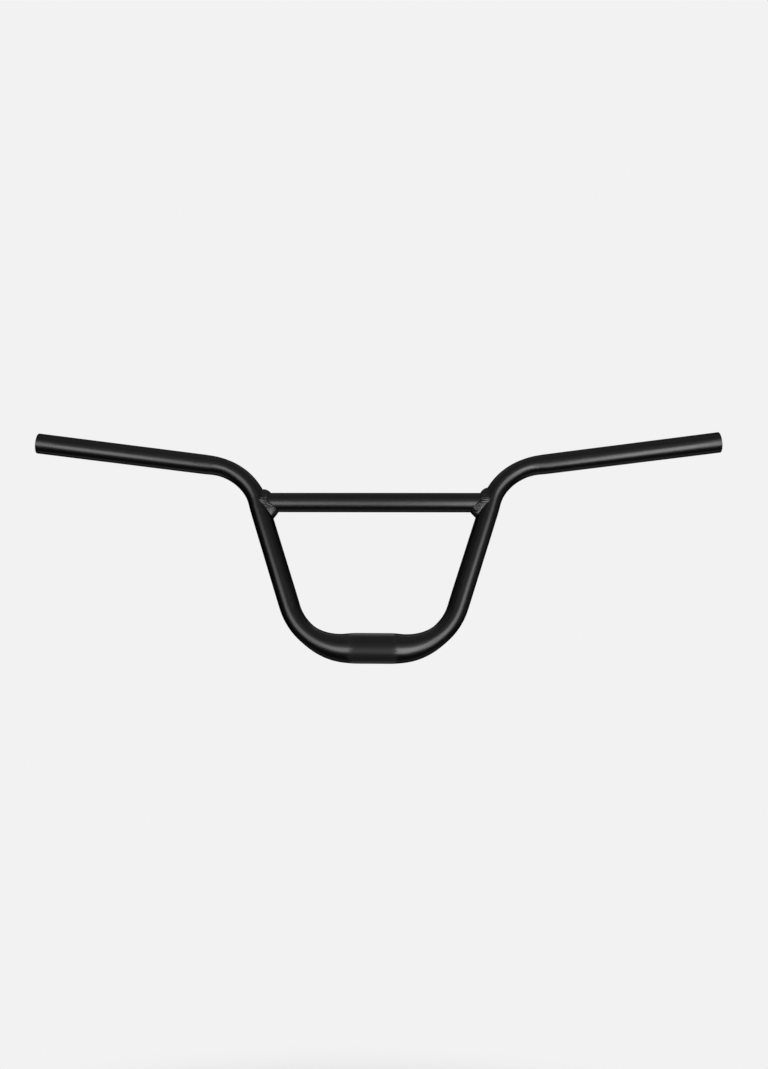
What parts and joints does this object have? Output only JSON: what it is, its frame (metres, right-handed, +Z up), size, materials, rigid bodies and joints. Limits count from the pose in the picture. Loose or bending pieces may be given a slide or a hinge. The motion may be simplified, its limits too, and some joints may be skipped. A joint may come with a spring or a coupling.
{
  "type": "handlebar",
  "caption": "High-rise aluminium handlebar with a swaged clamp zone, swept grips and a welded crossbar, satin black",
  "frame": {"origin": "centre of the clamp zone, on the tube's axis", "axes": "+X to the rider's right along the clamp zone, +Y forwards, +Z up in the plane of the uprights; the grips sweep towards -Y"},
  "size_m": [0.7436, 0.0629, 0.2449],
  "materials": {
    "bar_finish": "satin black anodised, bead-blasted in the clamp zone",
    "crossbar_finish": "satin black anodised",
    "weld_finish": "satin black anodised weld metal"
  },
  "bodies": {
    "root": {"bar_tube": "bar_finish", "crossbar": "crossbar_finish", "weld_left": "weld_finish", "weld_right": "weld_finish"}
  },
  "joints": []
}
